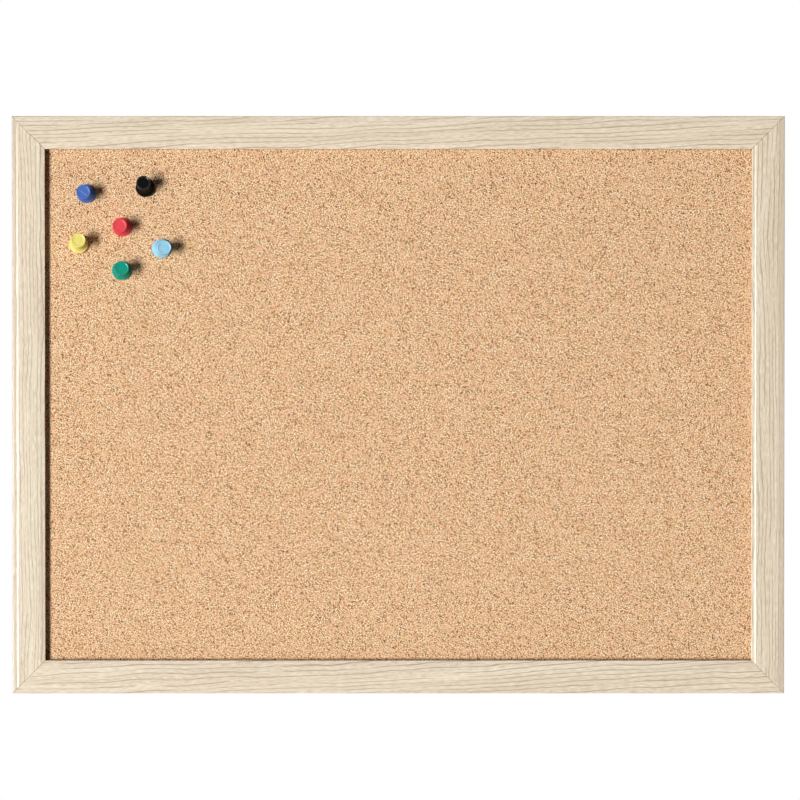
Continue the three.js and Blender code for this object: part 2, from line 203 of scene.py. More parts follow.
class Shader:
    """One material's node tree, with short calls that add a node and link it."""

    def __init__(self, name):
        self.material = bpy.data.materials.new(name)
        self.material.use_nodes = True
        self.tree = self.material.node_tree
        self.surface = self.tree.nodes["Principled BSDF"]

    def feed(self, socket, value):
        if isinstance(value, bpy.types.NodeSocket):
            self.tree.links.new(value, socket)
        else:
            socket.default_value = value

    def add(self, kind, links, **settings):
        node = self.tree.nodes.new("ShaderNode" + kind)
        for key, value in settings.items():
            setattr(node, key, value)
        for key, value in links.items():
            self.feed(node.inputs[key], value)
        return node

    def math(self, operation, first, second=0.0):
        return self.add("Math", {0: first, 1: second}, operation=operation).outputs[0]

    def vector(self, x, y, z):
        return self.add("CombineXYZ", {0: x, 1: y, 2: z}).outputs[0]

    def place(self):
        """Where a point lies on the object, in millimetres."""
        coordinates = self.add("TexCoord", {}).outputs["Object"]
        return self.add("VectorMath", {0: coordinates, 3: 1 / MM}, operation="SCALE").outputs[0]

    def noise(self, place, size=1.0, detail=2.0, roughness=0.5):
        links = {"Vector": place, "Scale": 1 / size, "Detail": detail, "Roughness": roughness}
        return self.add("TexNoise", links).outputs[0]

    def cells(self, x, y, size, turn):
        """Flat cells about points scattered on a grid turned by an angle in degrees:
        the distance from a cell's point, and its chance values."""
        links = {"Vector": self.vector(x, y, 0.0), "Angle": math.radians(turn)}
        turned = self.add("VectorRotate", links, rotation_type="Z_AXIS").outputs[0]
        links = {"Vector": turned, "Scale": 1 / size}
        node = self.add("TexVoronoi", links, voronoi_dimensions="2D")
        return node.outputs["Distance"], self.split(node.outputs["Color"])

    def split(self, vector):
        return self.add("SeparateXYZ", {0: vector}).outputs

    def span(self, value, low, high, to_low=0.0, to_high=1.0):
        """A value taken smoothly from low..high to to_low..to_high."""
        links = {"Value": value, "From Min": low, "From Max": high, "To Min": to_low, "To Max": to_high}
        return self.add("MapRange", links, interpolation_type="SMOOTHSTEP").outputs[0]

    def weigh(self, *shares):
        """The sum of values, each times its weight."""
        parts = [self.math("MULTIPLY", value, weight) for value, weight in shares]
        total = parts[0]
        for part in parts[1:]:
            total = self.math("ADD", total, part)
        return total

    def mix(self, factor, first, second):
        return self.add("Mix", {0: factor, 6: first, 7: second}, data_type="RGBA").outputs[2]

    def ramp(self, factor, stops):
        node = self.add("ValToRGB", {0: factor})
        elements = node.color_ramp.elements
        while len(elements) < len(stops):
            elements.new(0.5)
        for element, (position, colour) in zip(elements, stops):
            element.position = position
            element.color = colour
        return node.outputs[0]

    def bump(self, height, depth, strength=1.0):
        links = {"Height": height, "Distance": depth, "Strength": strength}
        return self.add("Bump", links).outputs[0]

    def finish(self, colour, roughness, normal, metallic=0.0, specular=0.5):
        self.feed(self.surface.inputs["Base Color"], colour)
        self.feed(self.surface.inputs["Roughness"], roughness)
        self.feed(self.surface.inputs["Normal"], normal)
        self.surface.inputs["Metallic"].default_value = metallic
        self.surface.inputs["Specular IOR Level"].default_value = specular
        return self.material


def wood_foil(name, seed, kind, outer_edge):
    """Pale oak print: fine wavy growth lines along the member, short fibres and broad tone bands.
    The band along the outer edge is darkened with painted shade, above all on the stiles."""
    s = Shader(name)
    x, y, z = s.split(s.place())
    across = s.math("SUBTRACT", s.math("ADD", y, z), s.math("MULTIPLY", x, LINE_RISE[kind]))

    def stretched(value, length, width, shift, detail=2.0):
        place = s.vector(s.math("DIVIDE", x, length), s.math("DIVIDE", value, width), seed + shift)
        return s.noise(place, detail=detail)

    def centred(value, reach):
        return s.math("MULTIPLY", s.math("SUBTRACT", value, 0.5), reach)

    sway = centred(stretched(across, length=120, width=26, shift=0), reach=10.0)
    ripple = centred(stretched(across, length=20, width=6, shift=3), reach=1.8)
    swayed = s.math("ADD", s.math("ADD", across, sway), ripple)
    growth = s.math("FRACT", s.math("DIVIDE", swayed, LINE_GAP[kind]))
    late = s.math("MULTIPLY", s.span(growth, 0.0, 0.1), s.span(growth, 0.28, 0.12))
    kept = s.span(stretched(swayed, length=40, width=2.0, shift=7), 0.38, 0.5)
    line = s.math("MULTIPLY", late, kept)
    fibre = stretched(swayed, length=4, width=0.45, shift=11, detail=3.0)
    streak = stretched(swayed, length=40, width=0.9, shift=17)
    band = stretched(swayed, length=150, width=5, shift=13)
    tone = s.weigh((fibre, 0.55), (streak, 0.25), (band, 0.2))
    print_tone = s.ramp(tone, [
        (0.38, srgb(213, 195, 167)),
        (0.47, srgb(230, 213, 187)),
        (0.53, srgb(238, 222, 197)),
        (0.62, srgb(249, 236, 215)),
    ])
    lined = s.mix(s.math("MULTIPLY", line, LINE_STRENGTH), print_tone, srgb(174, 152, 120))
    # Painted shade: the foil's colour is darkened over the outer band, more on the stiles than on the
    # rails
    band_start = (outer_edge - OUTER_BAND) / MM
    painted_shade_band = s.span(z, band_start - 0.4, band_start + 0.2, 0.0, BAND_PAINTED_SHADE[kind])
    colour = s.mix(painted_shade_band, lined, srgb(200, 180, 156))
    height = s.math("SUBTRACT", s.math("MULTIPLY", fibre, 0.5), line)
    roughness = s.span(fibre, 0.3, 0.7, 0.16, 0.22)
    return s.finish(colour, roughness, s.bump(height, 0.02 * MM, 0.4))


def raw_mdf():
    """Sawn fibreboard: tan, with fine pale and dark fibres."""
    s = Shader("raw_mdf")
    place = s.place()
    flecks = s.noise(place, size=0.5, detail=4.0, roughness=0.7)
    clouds = s.noise(place, size=9.0)
    tone = s.weigh((flecks, 0.7), (clouds, 0.3))
    stops = [(0.3, srgb(118, 86, 54)), (0.5, srgb(156, 122, 84)), (0.7, srgb(186, 154, 114))]
    colour = s.ramp(tone, stops)
    return s.finish(colour, s.span(flecks, 0.3, 0.7, 0.8, 0.95), s.bump(flecks, 0.12 * MM), specular=0.2)


def cork_crumbs():
    """Fine agglomerated cork: pale crumbs with brown hearts, rosy and straw patches, brown specks and a
    few larger pieces of bark."""
    s = Shader("cork_crumbs")
    place = s.place()
    x, _, z = s.split(place)
    reach, (pick, dryness, _) = s.cells(x, z, *CRUMB_GRID)
    tone = s.math("ADD", reach, s.span(pick, 0.0, 1.0, -CRUMB_STRAY, CRUMB_STRAY))
    crumbs = s.ramp(tone, [
        (0.0, srgb(100, 44, 0)),
        (0.2, srgb(176, 104, 24)),
        (0.36, srgb(249, 193, 138)),
        (0.54, srgb(253, 219, 178)),
        (0.74, srgb(255, 248, 220)),
    ])
    pink = s.span(s.noise(place, size=6.0), 0.45, 0.7, 0.0, 0.3)
    rosy = s.mix(pink, crumbs, srgb(246, 188, 150))
    straw = s.span(s.noise(place, size=4.3), 0.5, 0.72, 0.0, 0.25)
    tinted = s.mix(straw, rosy, srgb(238, 196, 136))
    off, (girth, _, _) = s.cells(x, z, *SPECK_GRID)
    past_rim = s.math("SUBTRACT", off, s.span(girth, 0.4, 1.0, 0.0, 0.38))
    speckled = s.mix(s.span(past_rim, 0.03, -0.03, 0.0, 0.95), tinted, srgb(116, 58, 0))
    off, (chosen, _, _) = s.cells(x, z, *BARK_GRID)
    bark = s.math("MULTIPLY", s.span(off, 0.26, 0.2), s.math("GREATER_THAN", chosen, BARK_EMPTY))
    colour = s.mix(bark, speckled, srgb(88, 44, 8))
    roughness = s.span(dryness, 0.0, 1.0, 0.8, 0.95)
    return s.finish(colour, roughness, s.bump(tone, 0.03 * MM), specular=0.05)


def soft_fibreboard():
    """Insulation board: grey-brown felted fibres."""
    s = Shader("soft_fibreboard")
    place = s.place()
    felt = s.noise(place, size=1.2, detail=5.0, roughness=0.75)
    stops = [(0.3, srgb(132, 104, 74)), (0.5, srgb(169, 138, 102)), (0.7, srgb(198, 170, 132))]
    colour = s.ramp(felt, stops)
    return s.finish(colour, s.span(felt, 0.3, 0.7, 0.85, 0.97), s.bump(felt, 0.3 * MM), specular=0.15)


def kraft_paper():
    """Brown kraft liner: cloudy pulp, long pale fibres and a faint machine direction."""
    s = Shader("kraft_paper")
    place = s.place()
    x, y, z = s.split(place)
    clouds = s.noise(place, size=16.0, detail=4.0, roughness=0.6)
    streaks = s.noise(s.vector(s.math("DIVIDE", x, 22.0), y, z), size=0.7, detail=3.0)
    pulp = s.noise(place, size=0.6, detail=4.0, roughness=0.7)
    tone = s.weigh((clouds, 0.4), (streaks, 0.35), (pulp, 0.25))
    stops = [(0.34, srgb(150, 113, 73)), (0.5, srgb(180, 142, 98)), (0.66, srgb(203, 168, 124))]
    colour = s.ramp(tone, stops)
    height = s.math("ADD", s.math("MULTIPLY", clouds, 2.0), pulp)
    return s.finish(colour, s.span(pulp, 0.3, 0.7, 0.62, 0.82), s.bump(height, 0.15 * MM), specular=0.3)


def plated_metal(name, tint, dull, bright):
    """Plated or drawn steel: brushed streaks, cloudy plating and small scuffs."""
    s = Shader(name)
    place = s.place()
    x, y, z = s.split(place)
    drawn = s.vector(s.math("DIVIDE", x, 8.0), y, s.math("DIVIDE", z, 8.0))
    streaks = s.noise(drawn, size=0.12, detail=3.0)
    clouds = s.noise(place, size=2.5, detail=3.0)
    scuffs = s.noise(place, size=0.35, detail=2.0)
    shade = [channel * 0.78 for channel in tint]
    colour = s.mix(s.span(clouds, 0.35, 0.65), srgb(*shade), srgb(*tint))
    wear = s.weigh((streaks, 0.5), (clouds, 0.5))
    roughness = s.span(wear, 0.3, 0.7, dull, bright)
    return s.finish(colour, roughness, s.bump(s.math("ADD", streaks, scuffs), 0.01 * MM), metallic=1.0)


def moulded_rubber():
    """Black bumper rubber with a dusty bloom."""
    s = Shader("moulded_rubber")
    place = s.place()
    grain = s.noise(place, size=0.25, detail=3.0)
    bloom = s.noise(place, size=3.0, detail=3.0)
    colour = s.ramp(bloom, [(0.35, srgb(30, 30, 31)), (0.7, srgb(58, 57, 56))])
    return s.finish(colour, s.span(grain, 0.3, 0.7, 0.6, 0.85), s.bump(grain, 0.03 * MM), specular=0.35)


def moulded_plastic(name, tint, gloss, flow_line=False):
    """Moulded plastic with faint flow marks, fine scuffs and, if asked, a pale line on its top."""
    s = Shader(name)
    place = s.place()
    flow = s.noise(place, size=3.0, detail=3.0)
    scuffs = s.noise(place, size=0.3, detail=3.0, roughness=0.65)
    deep = srgb(*[channel * 0.96 for channel in tint])
    pale = srgb(*[min(255, channel * 1.02 + 2) for channel in tint])
    colour = s.mix(s.span(flow, 0.3, 0.7), deep, pale)
    if flow_line:
        x, y, z = s.split(place)
        aside = s.weigh((x, 0.59), (y, 0.81))
        along = s.weigh((x, 0.81), (y, -0.59))
        near = s.span(s.math("ABSOLUTE", s.math("ADD", aside, 0.45)), 0.3, 0.05)
        within = s.span(s.math("ABSOLUTE", s.math("ADD", along, 0.1)), 3.0, 2.5)
        on_top = s.math("GREATER_THAN", z, 0.95 * HEAD_HEIGHT / MM)
        mark = s.math("MULTIPLY", s.math("MULTIPLY", near, within), on_top)
        colour = s.mix(s.math("MULTIPLY", mark, 0.22), colour, srgb(198, 212, 250))
    roughness = s.span(scuffs, 0.3, 0.75, 0.12, 0.26)
    return s.finish(colour, roughness, s.bump(scuffs, 0.012 * MM), specular=gloss)


def pale_floor():
    """Matt white paint whose far edge fades into the white surroundings."""
    s = Shader("pale_floor")
    place = s.place()
    grain = s.noise(place, size=4.0, detail=4.0)
    colour = s.ramp(grain, [(0.3, srgb(238, 238, 238)), (0.7, srgb(246, 246, 246))])
    material = s.finish(colour, s.span(grain, 0.3, 0.7, 0.75, 0.9), s.bump(grain, 0.1 * MM), specular=0.2)
    x, y, _ = s.split(place)
    reach = s.math("SQRT", s.math("ADD", s.math("MULTIPLY", x, x), s.math("MULTIPLY", y, y)))
    fade = s.span(reach, *[share * FLOOR_RADIUS / MM for share in FLOOR_FADE])
    seen = s.add("LightPath", {}).outputs["Is Camera Ray"]
    white = s.add("Emission", {"Color": (1, 1, 1, 1), "Strength": 1.0})
    links = {0: s.math("MULTIPLY", fade, seen), 1: s.surface.outputs[0], 2: white.outputs[0]}
    s.feed(s.tree.nodes["Material Output"].inputs["Surface"], s.add("MixShader", links).outputs[0])
    return material


# Shapes

def arc(centre, radius, start, end, steps):
    """Points on an arc, with its angles in degrees."""
    angles = [math.radians(start + (end - start) * i / steps) for i in range(steps + 1)]
    return [(centre[0] + radius * math.cos(a), centre[1] + radius * math.sin(a)) for a in angles]


def curve(start, control, end, steps):
    """Points on a quadratic curve, without its first point."""
    points = []
    for i in range(1, steps + 1):
        t = i / steps
        weights = ((1 - t) ** 2, 2 * t * (1 - t), t * t)
        points.append(tuple(sum(w * p[k] for w, p in zip(weights, (start, control, end))) for k in (0, 1)))
    return points


def new_piece(name, bm, materials, smooth_angle=35):
    """A linked object from a bmesh, smooth where its faces meet at less than smooth_angle degrees."""
    bmesh.ops.recalc_face_normals(bm, faces=bm.faces)
    mesh = bpy.data.meshes.new(name)
    bm.to_mesh(mesh)
    bm.free()
    for material in materials:
        mesh.materials.append(material)
    mesh.polygons.foreach_set("use_smooth", [True] * len(mesh.polygons))
    mesh.set_sharp_from_angle(angle=math.radians(smooth_angle))
    piece = bpy.data.objects.new(name, mesh)
    bpy.context.scene.collection.objects.link(piece)
    return piece


def dress(piece, body, slot, *nodes):
    """Lets a piece ride on its body and stand for CAD nodes, which it hides. Its slot is not used."""
    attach(piece, body)
    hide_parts(*nodes)


def lathe(profile, segments):
    """A closed round shape about +Z from (radius, height) pairs that start and end on the axis."""
    bm = bmesh.new()
    rings = []
    for radius, height in profile:
        count = segments if radius > 0 else 1
        turn = [2 * math.pi * i / segments for i in range(count)]
        rings.append([bm.verts.new((radius * math.cos(a), radius * math.sin(a), height)) for a in turn])
    for lower, upper in zip(rings, rings[1:]):
        for i in range(segments):
            corners = [lower[i % len(lower)], lower[(i + 1) % len(lower)]]
            corners += [upper[(i + 1) % len(upper)], upper[i % len(upper)]]
            bm.faces.new(dict.fromkeys(corners))
    return bm


def cut(piece, cutters):
    """Cuts closed shapes out of a piece for good."""
    for cutter in cutters:
        boolean = piece.modifiers.new("cut", "BOOLEAN")
        boolean.object = cutter
        boolean.operation = "DIFFERENCE"
        boolean.solver = "EXACT"
    depsgraph = bpy.context.evaluated_depsgraph_get()
    piece.data = bpy.data.meshes.new_from_object(piece.evaluated_get(depsgraph))
    piece.modifiers.clear()


def discard(objects):
    """Removes cutters that have been used."""
    for used in objects:
        bpy.data.objects.remove(used)


# Frame members

def moulding_section():
    """The section's (inset, height) points from the back's outer corner round to it again.
    Each has the finish of the stretch that follows it: 0 foil, 1 raw board."""
    land = FRAME_FACE - REBATE_WIDTH
    lip_back = FRAME_DEPTH - LIP_THICKNESS
    lip_foot = (FRAME_FACE - LIP_UNDERCUT, lip_back)
    band_top = Vector((FRAME_FACE - INNER_BAND, FRAME_DEPTH - INNER_DROP))
    arris = band_top + Vector((1, -math.tan(math.radians(BAND_TILT)))) * INNER_BAND
    down = (Vector(lip_foot) - arris).normalized() * ARRIS_ROUND
    back = (band_top - arris).normalized() * ARRIS_ROUND
    foil = [tuple(arris + down), *curve(arris + down, arris, arris + back, 4)]
    foil += [tuple(band_top.lerp(arris, share)) for share in (0.6, 0.15, 0.0)]
    run = INNER_DROP / math.tan(math.radians(INNER_TILT))
    foil += curve(band_top, (band_top.x - run, FRAME_DEPTH), (band_top.x - STEP_WIDTH, FRAME_DEPTH), 8)
    step = [(OUTER_BAND + STEP_WIDTH * share, FRAME_DEPTH) for share in (1, 0.75)]
    step += [(OUTER_BAND + STEP_WIDTH * share, FRAME_DEPTH - OUTER_DROP) for share in (0.25, 0)]
    middle = (OUTER_BAND + STEP_WIDTH / 2, FRAME_DEPTH - OUTER_DROP / 2)
    foil += [step[0]] + curve(step[0], step[1], middle, 6) + curve(middle, step[2], step[3], 6)
    foil.append((OUTER_BAND - 0.2 * STEP_WIDTH, FRAME_DEPTH - OUTER_DROP))
    foil += arc((OUTER_ROUND, FRAME_DEPTH - OUTER_DROP - OUTER_ROUND), OUTER_ROUND, 90, 180, 8)
    foil += arc((BACK_ROUND, BACK_ROUND), BACK_ROUND, 180, 270, 4)
    board = [(FOIL_WRAP, 0), (land, 0), (land, lip_back), lip_foot]
    return [(point, 1) for point in board] + [(point, 0) for point in foil]


def inset_section(points, depth):
    """The section drawn in by depth all round."""
    drawn = []
    for i, point in enumerate(points):
        before = (Vector(point) - Vector(points[i - 1])).normalized()
        after = (Vector(points[(i + 1) % len(points)]) - Vector(point)).normalized()
        inward = Vector((-before.y - after.y, before.x + after.x)).normalized()
        drawn.append(tuple(Vector(point) + inward * depth))
    return drawn


def moulding(name, length, across, materials):
    """A mitred length along X, whose outer edge is at +Z and whose face is towards -Y."""
    section = moulding_section()
    points = [point for point, _ in section]
    eased = inset_section(points, MITRE_EASE)
    bm = bmesh.new()
    rings = []
    ends = [(-1, eased, 0), (-1, points, MITRE_EASE), (1, points, MITRE_EASE), (1, eased, 0)]
    for end, outline, back_off in ends:
        ring = []
        for inset, height in outline:
            reach = length - inset - MITRE_GAP / 2 - back_off
            ring.append(bm.verts.new((end * reach, FRAME_BACK - height, across - inset)))
        rings.append(ring)
    for lower, upper in zip(rings, rings[1:]):
        for i, (_, finish) in enumerate(section):
            j = (i + 1) % len(section)
            face = bm.faces.new((lower[i], lower[j], upper[j], upper[i]))
            face.material_index = finish
    for ring in (rings[0], rings[-1]):
        bm.faces.new(ring).material_index = 1
    return new_piece(name, bm, materials)


def nail_slots():
    """Cutters a little larger than the V-nails, which run out through the frame's back."""
    cutters = []
    for name, node in frame["nodes"].items():
        if name.startswith("v_nail"):
            bm = bmesh.new()
            bm.from_mesh(node.data)
            bmesh.ops.remove_doubles(bm, verts=bm.verts, dist=SAME_POINT)
            bm.normal_update()
            rear = max(vert.co.y for vert in bm.verts)
            for vert in bm.verts:
                at_rear = vert.co.y > rear - LEVEL
                vert.co += vert.normal * NAIL_SLOT_GAP
                vert.co.y = FRAME_BACK + NAIL_SLOT_EXIT if at_rear else vert.co.y
            for face in bm.faces:
                face.material_index = 1
            cutters.append(new_piece("slot_" + name, bm, []))
    return cutters


def make_frame():
    """The four mitred members, each turned from the top one's place, with slots for the V-nails."""
    board = raw_mdf()
    slots = nail_slots()
    sides = [
        ("top", "rail", 0, HALF_WIDTH, HALF_HEIGHT),
        ("right", "stile", 90, HALF_HEIGHT, HALF_WIDTH),
        ("bottom", "rail", 180, HALF_WIDTH, HALF_HEIGHT),
        ("left", "stile", 270, HALF_HEIGHT, HALF_WIDTH),
    ]
    for seed, (side, kind, turn, length, across) in enumerate(sides):
        foil = wood_foil("wood_foil_" + side, 17.0 * seed, kind, across)
        piece = moulding("moulding_" + side, length, across, [foil, board])
        piece.matrix_world = Matrix.Rotation(math.radians(turn), 4, "Y")
        bpy.context.view_layer.update()
        cut(piece, slots)
        dress(piece, "board", "wood_foil", f"frame_{kind}_{side}")
    discard(slots)


# Cork, core and liner

def pin_axis(name):
    """The direction in which a pin pulls out."""
    joint = next(j for j in frame["joints"] if j["name"] == f"pin_{name}_pull")
    return Vector(joint["axis"]).normalized()


def pin_seat(name):
    """The middle of the underside of a pin's collar."""
    axis = pin_axis(name)
    points = [vert.co.copy() for vert in frame["nodes"][f"pin_{name}_head"].data.vertices]
    lowest = min(point.dot(axis) for point in points)
    under = [point for point in points if point.dot(axis) < lowest + LEVEL]
    unique = {tuple(round(c, 7) for c in point) for point in under}
    return sum((Vector(point) for point in unique), Vector()) / len(unique)


def pin_place(name):
    """Where a pin stands, with +Z along its axis and its origin at its seat."""
    turn = pin_axis(name).to_track_quat("Z", "Y").to_matrix().to_4x4()
    return Matrix.Translation(pin_seat(name)) @ turn


def cork_height(x, z):
    """How far a crumb stands above the sheet's face."""
    crumb = noise.cell(Vector((x, z, 0.5)) / CRUMB_WIDTH)
    swell = noise.noise(Vector((x, z, 3.1)) / SWELL_WIDTH)
    return CORK_RELIEF * (0.6 * crumb + 0.4 * swell)


def needle_holes():
    """Cutters along the pins' axes, a little wider than the needles."""
    reach = NEEDLE_LENGTH
    profile = [(0, -reach), (NEEDLE_HOLE / 2, -reach), (NEEDLE_HOLE / 2, reach / 2), (0, reach / 2)]
    holes = []
    for name in PINS:
        hole = new_piece("hole_" + name, lathe(profile, HOLE_SEGMENTS), [])
        hole.matrix_world = pin_place(name)
        holes.append(hole)
    return holes


def make_cork():
    """The sheet, with crumbs standing on its face on a jittered grid and a hole for each needle."""
    columns = round((cork_high.x - cork_low.x) / CORK_PITCH)
    rows = round((cork_high.z - cork_low.z) / CORK_PITCH)
    jitter = random.Random(7)
    bm = bmesh.new()
    grid = []
    for row in range(rows + 1):
        line = []
        for column in range(columns + 1):
            inside = 0 < row < rows and 0 < column < columns
            shift = [jitter.uniform(-CORK_JITTER, CORK_JITTER) * CORK_PITCH * inside for _ in range(2)]
            x = cork_low.x + (cork_high.x - cork_low.x) * column / columns + shift[0]
            z = cork_low.z + (cork_high.z - cork_low.z) * row / rows + shift[1]
            line.append(bm.verts.new((x, cork_low.y - cork_height(x, z) * inside, z)))
        grid.append(line)
    for lower, upper in zip(grid, grid[1:]):
        for i in range(columns):
            bm.faces.new((lower[i], lower[i + 1], upper[i + 1], upper[i]))
    border = grid[0][:-1] + [line[-1] for line in grid[:-1]]
    border += grid[-1][:0:-1] + [line[0] for line in grid[:0:-1]]
    rear = [bm.verts.new((vert.co.x, cork_high.y, vert.co.z)) for vert in border]
    for i in range(len(border)):
        j = (i + 1) % len(border)
        bm.faces.new((border[i], border[j], rear[j], rear[i]))
    bm.faces.new(rear)
    piece = new_piece("cork_face", bm, [cork_crumbs()], smooth_angle=60)
    holes = needle_holes()
    bpy.context.view_layer.update()
    cut(piece, holes)
    discard(holes)
    dress(piece, "board", "cork", "cork_sheet")


def finish_node(name, material, edge=0.0):
    """Gives a CAD node its finish, and rounds its sharp edges by edge."""
    node = frame["nodes"][name]
    node.data.materials.clear()
    node.data.materials.append(material)
    if edge:
        bevel = node.modifiers.new("edges", "BEVEL")
        bevel.width = edge
        bevel.segments = 2
        bevel.limit_method = "ANGLE"
        bevel.angle_limit = math.radians(40)


# Push pins

def head_profile():
    """A pin head's (radius, height) pairs, from its underside up."""
    collar = COLLAR_DIAMETER / 2
    waist = WAIST_DIAMETER / 2
    top = TOP_DIAMETER / 2
    fillet = HEAD_FILLET
    neck_top = HEAD_HEIGHT - TOP_RIM
    profile = [(0, 0)]
    profile += arc((collar - fillet, fillet), fillet, -90, 0, 5)
    profile += arc((collar - fillet, COLLAR_RIM - fillet), fillet, 0, 90, 5)
    profile += curve(profile[-1], (waist, COLLAR_RIM + SKIRT_BEND), (waist, COLLAR_RIM + SKIRT_HEIGHT), 12)
    profile.append((waist, neck_top - TOP_FLARE))
    profile += curve(profile[-1], (waist, neck_top), (top - fillet / 2, neck_top), 10)
    profile += arc((top - fillet / 2, neck_top + fillet / 2), fillet / 2, -90, 0, 4)
    profile += arc((top - TOP_EDGE, HEAD_HEIGHT - TOP_EDGE), TOP_EDGE, 0, 90, 6)
    brim = top - 1.5 * TOP_EDGE
    floor = HEAD_HEIGHT - TOP_DISH
    profile.append((brim, HEAD_HEIGHT))
    profile += curve(profile[-1], (brim - DISH_SLOPE, floor), (brim - 2 * DISH_SLOPE, floor), 8)
    profile.append((0, floor))
    return profile


def polish_brim(bm):
    """Gives the brim round a head's dished top the second finish."""
    for face in bm.faces:
        if face.calc_center_median().z > HEAD_HEIGHT - BRIM_DEPTH:
            face.material_index = 1
    return bm


def make_pins():
    """Each pin's head and needle, turned about +Z and then stood on its seat."""
    steel = plated_metal("needle_steel", (205, 207, 210), 0.16, 0.3)
    needle = NEEDLE_DIAMETER / 2
    tip = -NEEDLE_LENGTH
    needle_profile = [(0, tip), (needle * 0.2, tip + 0.2 * MM), (needle * 0.75, tip + 0.6 * NEEDLE_POINT)]
    needle_profile += [(needle, tip + NEEDLE_POINT), (needle, NEEDLE_SOCKET), (0, NEEDLE_SOCKET)]
    for name, tint in PINS.items():
        gloss = BLACK_GLOSS if name == "black" else PIN_GLOSS
        plastic = moulded_plastic(name + "_plastic", tint, gloss, flow_line=name == "blue")
        polished = moulded_plastic(name + "_brim", tint, BRIM_GLOSS)
        head = polish_brim(lathe(head_profile(), HEAD_SEGMENTS))
        cap = new_piece(f"pin_{name}_cap", head, [plastic, polished])
        shaft = new_piece(f"pin_{name}_shaft", lathe(needle_profile, NEEDLE_SEGMENTS), [steel])
        for piece in (cap, shaft):
            piece.matrix_world = pin_place(name)
        dress(cap, "pin_" + name, name + "_plastic", f"pin_{name}_head")
        dress(shaft, "pin_" + name, "bright_steel", f"pin_{name}_needle")


# Hangers and bumpers

def ring_path(low, high):
    """The wire's centre line in the XZ plane: a straight bar on top, rounded corners and a bow."""
    half = (high.x - low.x) / 2 - RING_WIRE / 2
    top = high.z - RING_WIRE / 2
    springing = low.z + RING_WIRE / 2 + half
    middle = (high.x + low.x) / 2
    path = arc((middle - half + RING_CORNER, top - RING_CORNER), RING_CORNER, 90, 180, 6)
    path += arc((middle, springing), half, 180, 360, 28)
    path += arc((middle + half - RING_CORNER, top - RING_CORNER), RING_CORNER, 0, 90, 6)
    return path


def make_ring(side, material):
    """A closed ring of round wire, hanging down."""
    low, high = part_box("hanger_ring_" + side)
    depth = (low.y + high.y) / 2
    path = [Vector(point) for point in ring_path(low, high)]
    bm = bmesh.new()
    rings = []
    for i, point in enumerate(path):
        along = (path[(i + 1) % len(path)] - path[i - 1]).normalized()
        outward = Vector((along.y, -along.x))
        ring = []
        for k in range(WIRE_SEGMENTS):
            turn = 2 * math.pi * k / WIRE_SEGMENTS
            flat = point + outward * math.cos(turn) * RING_WIRE / 2
            ring.append(bm.verts.new((flat.x, depth + math.sin(turn) * RING_WIRE / 2, flat.y)))
        rings.append(ring)
    for i, ring in enumerate(rings):
        following = rings[(i + 1) % len(rings)]
        for k in range(WIRE_SEGMENTS):
            m = (k + 1) % WIRE_SEGMENTS
            bm.faces.new((ring[k], ring[m], following[m], following[k]))
    piece = new_piece("ring_wire_" + side, bm, [material])
    dress(piece, "ring_" + side, "zinc_plate", "hanger_ring_" + side)


def make_screw(side, material):
    """A pan-head screw with a cross recess, its head towards the wall."""
    low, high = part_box("hanger_screw_" + side)
    head = SCREW_HEAD_DIAMETER / 2
    shank = SCREW_SHANK_DIAMETER / 2
    top = SCREW_HEAD_HEIGHT
    profile = [(0, -SCREW_LENGTH), (shank, SCREW_POINT - SCREW_LENGTH), (shank, 0), (head * 0.94, 0)]
    rim = (head, 0.45 * top)
    profile += [(head, 0.1 * top), rim]
    profile += curve(rim, (head, top), (head * 0.5, top), 8) + [(0, top)]
    screw = new_piece("screw_" + side, lathe(profile, SCREW_SEGMENTS), [material])
    middle = (low + high) / 2
    screw.matrix_world = Matrix.Translation((middle.x, high.y - top, middle.z)) @ TOWARDS_WALL
    slots = []
    for turn in RECESS_TURNS:
        bm = bmesh.new()
        bmesh.ops.create_cube(bm, size=1)
        for vert in bm.verts:
            taper = 1.0 if vert.co.z > 0 else RECESS_TAPER
            vert.co.x *= RECESS_LENGTH * taper
            vert.co.y *= RECESS_WIDTH * taper
            vert.co.z = top + RECESS_EXIT if vert.co.z > 0 else top - RECESS_DEPTH
        slot = new_piece(f"recess_{side}_{turn}", bm, [])
        slot.matrix_world = screw.matrix_world @ Matrix.Rotation(math.radians(turn), 4, "Z")
        slots.append(slot)
    bpy.context.view_layer.update()
    cut(screw, slots)
    discard(slots)
    dress(screw, "board", "bright_steel", "hanger_screw_" + side)


def make_bumper(corner, material):
    """A moulded foot with a rounded rim and a shallow dish in its face."""
    low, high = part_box("bumper_" + corner)
    radius = (high.x - low.x) / 2
    height = high.y - low.y
    rim = BUMPER_ROUND
    profile = [(0, 0), (radius, 0)]
    profile += arc((radius - rim, height - rim), rim, 0, 90, 8)
    profile += [(radius * 0.45, height), (radius * 0.36, height - BUMPER_DISH), (0, height - BUMPER_DISH)]
    piece = new_piece("foot_" + corner, lathe(profile, BUMPER_SEGMENTS), [material])
    middle = (low + high) / 2
    piece.matrix_world = Matrix.Translation((middle.x, low.y, middle.z)) @ TOWARDS_WALL
    dress(piece, "board", "rubber", "bumper_" + corner)


def make_back():
    """Hangers, bumpers, fasteners and the panel's layers behind the cork."""
    zinc = plated_metal("zinc_plate", (196, 199, 203), 0.3, 0.5)
    steel = plated_metal("bright_steel", (186, 188, 192), 0.22, 0.4)
    rubber = moulded_rubber()
    for side in ("left", "right"):
        make_ring(side, zinc)
        make_screw(side, steel)
        finish_node("hanger_strap_" + side, zinc, STRAP_EDGE)
    for name in frame["nodes"]:
        if name.startswith("bumper"):
            make_bumper(name.removeprefix("bumper_"), rubber)
        elif name.startswith("framers_point"):
            finish_node(name, zinc, POINT_EDGE)
        elif name.startswith("v_nail"):
            finish_node(name, steel)
    finish_node("fibreboard_core", soft_fibreboard())
    finish_node("backing_liner", kraft_paper())


